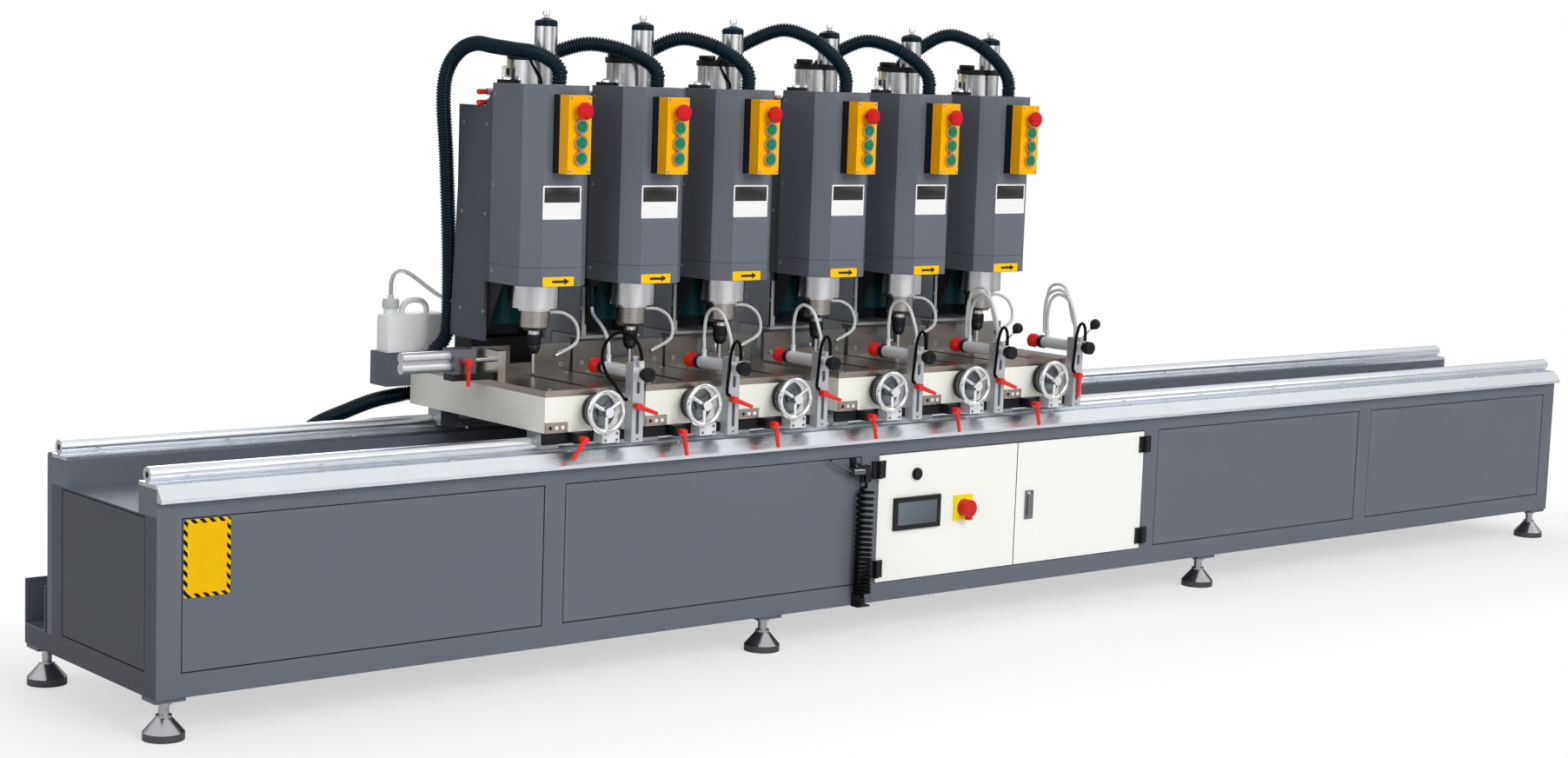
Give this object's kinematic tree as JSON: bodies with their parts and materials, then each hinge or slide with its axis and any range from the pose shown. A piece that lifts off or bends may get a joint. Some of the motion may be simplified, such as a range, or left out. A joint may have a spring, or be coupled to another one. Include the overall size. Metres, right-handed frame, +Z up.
{
  "type": "profile drilling machine",
  "caption": "Long floor-standing drilling machine: drilling heads with tables that slide on two round rails of a bed with a cabinet, fence, clamps and handwheels.",
  "frame": {"origin": "middle of the machine's box, on the floor under the levelling feet", "axes": "+X along the bed to the operator's right, +Y from the operator's side to the back, +Z up"},
  "size_m": [4.891, 0.7379, 1.5407],
  "materials": {
    "bed_paint": "smooth gray paint",
    "cabinet_paint": "smooth off-white paint",
    "casting_paint": "cream paint on a casting, ground steel top",
    "head_paint": "smooth gray paint",
    "rail_steel": "ground bar on a gray beam",
    "ground_steel": "ground",
    "foot_steel": "zinc gray",
    "black_metal": "black",
    "black_plastic": "matt black",
    "red_plastic": "glossy red",
    "chrome": "polished",
    "alloy": "satin",
    "hose_rubber": "black",
    "hose_plastic": "black, ribbed",
    "tank_plastic": "translucent white"
  },
  "bodies": {
    "bed": {"bed_frame": "bed_paint", "bed_panels": "bed_paint", "front_rail": "rail_steel", "rear_rail": "rail_steel", "levelling_feet": "foot_steel", "cable_tray": "bed_paint", "control_gear": "black_plastic", "door_hinges": "black_metal", "air_gun": "alloy", "air_hose": "hose_rubber"},
    "left_door": {"left_door": "cabinet_paint", "touch_screen": "black_plastic"},
    "right_door": {"right_door": "cabinet_paint"},
    "main_switch": {"main_switch": "red_plastic"},
    "door_button": {"door_button": "black_plastic"},
    "door_lock": {"door_lock": "chrome"},
    "carriage_1": {"table_1": "casting_paint", "coolant_tank": "tank_plastic", "conduits": "hose_plastic"},
    "head_1": {"head_1": "head_paint"},
    "quill_1": {"quill_1": "ground_steel"},
    "chuck_1": {"chuck_1": "ground_steel"},
    "handwheel_1": {"handwheel_1": "chrome"},
    "clamp_rod_1": {"clamp_rod_1": "ground_steel"},
    "stop_button_1": {"stop_button_1": "red_plastic"},
    "carriage_2": {"table_2": "casting_paint"},
    "head_2": {"head_2": "head_paint"},
    "quill_2": {"quill_2": "ground_steel"},
    "chuck_2": {"chuck_2": "ground_steel"},
    "handwheel_2": {"handwheel_2": "chrome"},
    "clamp_rod_2": {"clamp_rod_2": "ground_steel"},
    "stop_button_2": {"stop_button_2": "red_plastic"},
    "carriage_3": {"table_3": "casting_paint"},
    "head_3": {"head_3": "head_paint"},
    "quill_3": {"quill_3": "ground_steel"},
    "chuck_3": {"chuck_3": "ground_steel"},
    "handwheel_3": {"handwheel_3": "chrome"},
    "clamp_rod_3": {"clamp_rod_3": "ground_steel"},
    "stop_button_3": {"stop_button_3": "red_plastic"},
    "carriage_4": {"table_4": "casting_paint"},
    "head_4": {"head_4": "head_paint"},
    "quill_4": {"quill_4": "ground_steel"},
    "chuck_4": {"chuck_4": "ground_steel"},
    "handwheel_4": {"handwheel_4": "chrome"},
    "clamp_rod_4": {"clamp_rod_4": "ground_steel"},
    "stop_button_4": {"stop_button_4": "red_plastic"},
    "carriage_5": {"table_5": "casting_paint"},
    "head_5": {"head_5": "head_paint"},
    "quill_5": {"quill_5": "ground_steel"},
    "chuck_5": {"chuck_5": "ground_steel"},
    "handwheel_5": {"handwheel_5": "chrome"},
    "clamp_rod_5": {"clamp_rod_5": "ground_steel"},
    "stop_button_5": {"stop_button_5": "red_plastic"},
    "carriage_6": {"table_6": "casting_paint"},
    "head_6": {"head_6": "head_paint"},
    "quill_6": {"quill_6": "ground_steel"},
    "chuck_6": {"chuck_6": "ground_steel"},
    "handwheel_6": {"handwheel_6": "chrome"},
    "clamp_rod_6": {"clamp_rod_6": "ground_steel"},
    "stop_button_6": {"stop_button_6": "red_plastic"}
  },
  "joints": [
    {"name": "left_door_hinge", "type": "hinge", "parent": "bed", "child": "left_door", "pos_m": [-0.4715, -0.288, 0.3], "axis": [0, 0, -1], "range_deg": [0, 110]},
    {"name": "right_door_hinge", "type": "hinge", "parent": "bed", "child": "right_door", "pos_m": [0.5085, -0.288, 0.3], "axis": [0, 0, 1], "range_deg": [0, 110]},
    {"name": "carriage_1_slide", "type": "slide", "parent": "bed", "child": "carriage_1", "axis": [1, 0, 0], "range_m": [-0.7, 0.25]},
    {"name": "head_1_slide", "type": "slide", "parent": "carriage_1", "child": "head_1", "axis": [0, 1, 0], "range_m": [-0.07, 0], "deforming": ["conduits"]},
    {"name": "quill_1_feed", "type": "slide", "parent": "head_1", "child": "quill_1", "axis": [0, 0, 1], "range_m": [-0.034, 0]},
    {"name": "clamp_1_slide", "type": "slide", "parent": "carriage_1", "child": "clamp_rod_1", "axis": [0, 1, 0], "range_m": [0, 0.1]},
    {"name": "stop_1_push", "type": "slide", "parent": "head_1", "child": "stop_button_1", "axis": [0, 1, 0], "range_m": [0, 0.005], "stiffness_N_per_m": 1500},
    {"name": "chuck_1_spin", "type": "hinge", "parent": "quill_1", "child": "chuck_1", "pos_m": [-1.3535, -0.029, 0.76], "axis": [0, 0, 1], "continuous": true},
    {"name": "handwheel_1_turn", "type": "hinge", "parent": "carriage_1", "child": "handwheel_1", "pos_m": [-1.3535, -0.329, 0.63315], "axis": [0, 1, 0], "range_deg": [-2600, 2600]},
    {"name": "main_switch_turn", "type": "hinge", "parent": "left_door", "child": "main_switch", "pos_m": [-0.1755, -0.299, 0.311], "axis": [0, 1, 0], "range_deg": [0, 90]},
    {"name": "door_button_push", "type": "slide", "parent": "left_door", "child": "door_button", "axis": [0, 1, 0], "range_m": [0, 0.004], "stiffness_N_per_m": 1200},
    {"name": "door_lock_lift", "type": "hinge", "parent": "right_door", "child": "door_lock", "pos_m": [0.0665, -0.28385, 0.3245], "axis": [1, 0, 0], "range_deg": [-60, 0], "stiffness_Nm_per_rad": 0.05},
    {"name": "carriage_2_slide", "type": "slide", "parent": "carriage_1", "child": "carriage_2", "axis": [1, 0, 0], "range_m": [0, 0.3], "deforming": ["conduits"]},
    {"name": "carriage_3_slide", "type": "slide", "parent": "carriage_2", "child": "carriage_3", "axis": [1, 0, 0], "range_m": [0, 0.3], "deforming": ["conduits"]},
    {"name": "carriage_4_slide", "type": "slide", "parent": "carriage_3", "child": "carriage_4", "axis": [1, 0, 0], "range_m": [0, 0.3], "deforming": ["conduits"]},
    {"name": "carriage_5_slide", "type": "slide", "parent": "carriage_4", "child": "carriage_5", "axis": [1, 0, 0], "range_m": [0, 0.3], "deforming": ["conduits"]},
    {"name": "carriage_6_slide", "type": "slide", "parent": "carriage_5", "child": "carriage_6", "axis": [1, 0, 0], "range_m": [0, 0.3], "deforming": ["conduits"]},
    {"name": "head_2_slide", "type": "slide", "parent": "carriage_2", "child": "head_2", "axis": [0, 1, 0], "range_m": [-0.07, 0], "deforming": ["conduits"]},
    {"name": "quill_2_feed", "type": "slide", "parent": "head_2", "child": "quill_2", "axis": [0, 0, 1], "range_m": [-0.034, 0]},
    {"name": "clamp_2_slide", "type": "slide", "parent": "carriage_2", "child": "clamp_rod_2", "axis": [0, 1, 0], "range_m": [0, 0.1]},
    {"name": "stop_2_push", "type": "slide", "parent": "head_2", "child": "stop_button_2", "axis": [0, 1, 0], "range_m": [0, 0.005], "stiffness_N_per_m": 1500},
    {"name": "head_3_slide", "type": "slide", "parent": "carriage_3", "child": "head_3", "axis": [0, 1, 0], "range_m": [-0.07, 0], "deforming": ["conduits"]},
    {"name": "quill_3_feed", "type": "slide", "parent": "head_3", "child": "quill_3", "axis": [0, 0, 1], "range_m": [-0.034, 0]},
    {"name": "clamp_3_slide", "type": "slide", "parent": "carriage_3", "child": "clamp_rod_3", "axis": [0, 1, 0], "range_m": [0, 0.1]},
    {"name": "stop_3_push", "type": "slide", "parent": "head_3", "child": "stop_button_3", "axis": [0, 1, 0], "range_m": [0, 0.005], "stiffness_N_per_m": 1500},
    {"name": "head_4_slide", "type": "slide", "parent": "carriage_4", "child": "head_4", "axis": [0, 1, 0], "range_m": [-0.07, 0], "deforming": ["conduits"]},
    {"name": "quill_4_feed", "type": "slide", "parent": "head_4", "child": "quill_4", "axis": [0, 0, 1], "range_m": [-0.034, 0]},
    {"name": "clamp_4_slide", "type": "slide", "parent": "carriage_4", "child": "clamp_rod_4", "axis": [0, 1, 0], "range_m": [0, 0.1]},
    {"name": "stop_4_push", "type": "slide", "parent": "head_4", "child": "stop_button_4", "axis": [0, 1, 0], "range_m": [0, 0.005], "stiffness_N_per_m": 1500},
    {"name": "head_5_slide", "type": "slide", "parent": "carriage_5", "child": "head_5", "axis": [0, 1, 0], "range_m": [-0.07, 0], "deforming": ["conduits"]},
    {"name": "quill_5_feed", "type": "slide", "parent": "head_5", "child": "quill_5", "axis": [0, 0, 1], "range_m": [-0.034, 0]},
    {"name": "clamp_5_slide", "type": "slide", "parent": "carriage_5", "child": "clamp_rod_5", "axis": [0, 1, 0], "range_m": [0, 0.1]},
    {"name": "stop_5_push", "type": "slide", "parent": "head_5", "child": "stop_button_5", "axis": [0, 1, 0], "range_m": [0, 0.005], "stiffness_N_per_m": 1500},
    {"name": "head_6_slide", "type": "slide", "parent": "carriage_6", "child": "head_6", "axis": [0, 1, 0], "range_m": [-0.07, 0], "deforming": ["conduits"]},
    {"name": "quill_6_feed", "type": "slide", "parent": "head_6", "child": "quill_6", "axis": [0, 0, 1], "range_m": [-0.034, 0]},
    {"name": "clamp_6_slide", "type": "slide", "parent": "carriage_6", "child": "clamp_rod_6", "axis": [0, 1, 0], "range_m": [0, 0.1]},
    {"name": "stop_6_push", "type": "slide", "parent": "head_6", "child": "stop_button_6", "axis": [0, 1, 0], "range_m": [0, 0.005], "stiffness_N_per_m": 1500},
    {"name": "chuck_2_spin", "type": "hinge", "parent": "quill_2", "child": "chuck_2", "pos_m": [-1.0715, -0.029, 0.76], "axis": [0, 0, 1], "continuous": true},
    {"name": "handwheel_2_turn", "type": "hinge", "parent": "carriage_2", "child": "handwheel_2", "pos_m": [-1.0715, -0.329, 0.63315], "axis": [0, 1, 0], "range_deg": [-2600, 2600]},
    {"name": "chuck_3_spin", "type": "hinge", "parent": "quill_3", "child": "chuck_3", "pos_m": [-0.7935, -0.029, 0.76], "axis": [0, 0, 1], "continuous": true},
    {"name": "handwheel_3_turn", "type": "hinge", "parent": "carriage_3", "child": "handwheel_3", "pos_m": [-0.7935, -0.329, 0.63315], "axis": [0, 1, 0], "range_deg": [-2600, 2600]},
    {"name": "chuck_4_spin", "type": "hinge", "parent": "quill_4", "child": "chuck_4", "pos_m": [-0.4785, -0.029, 0.76], "axis": [0, 0, 1], "continuous": true},
    {"name": "handwheel_4_turn", "type": "hinge", "parent": "carriage_4", "child": "handwheel_4", "pos_m": [-0.4785, -0.329, 0.63315], "axis": [0, 1, 0], "range_deg": [-2600, 2600]},
    {"name": "chuck_5_spin", "type": "hinge", "parent": "quill_5", "child": "chuck_5", "pos_m": [-0.1935, -0.029, 0.76], "axis": [0, 0, 1], "continuous": true},
    {"name": "handwheel_5_turn", "type": "hinge", "parent": "carriage_5", "child": "handwheel_5", "pos_m": [-0.1935, -0.329, 0.63315], "axis": [0, 1, 0], "range_deg": [-2600, 2600]},
    {"name": "chuck_6_spin", "type": "hinge", "parent": "quill_6", "child": "chuck_6", "pos_m": [0.0935, -0.029, 0.76], "axis": [0, 0, 1], "continuous": true},
    {"name": "handwheel_6_turn", "type": "hinge", "parent": "carriage_6", "child": "handwheel_6", "pos_m": [0.0935, -0.329, 0.63315], "axis": [0, 1, 0], "range_deg": [-2600, 2600]}
  ],
  "couplings": [
    {"joint": "handwheel_1_turn", "follows": "head_1_slide", "rad_per_m": 628.32},
    {"joint": "handwheel_2_turn", "follows": "head_2_slide", "rad_per_m": 628.32},
    {"joint": "handwheel_3_turn", "follows": "head_3_slide", "rad_per_m": 628.32},
    {"joint": "handwheel_4_turn", "follows": "head_4_slide", "rad_per_m": 628.32},
    {"joint": "handwheel_5_turn", "follows": "head_5_slide", "rad_per_m": 628.32},
    {"joint": "handwheel_6_turn", "follows": "head_6_slide", "rad_per_m": 628.32}
  ]
}
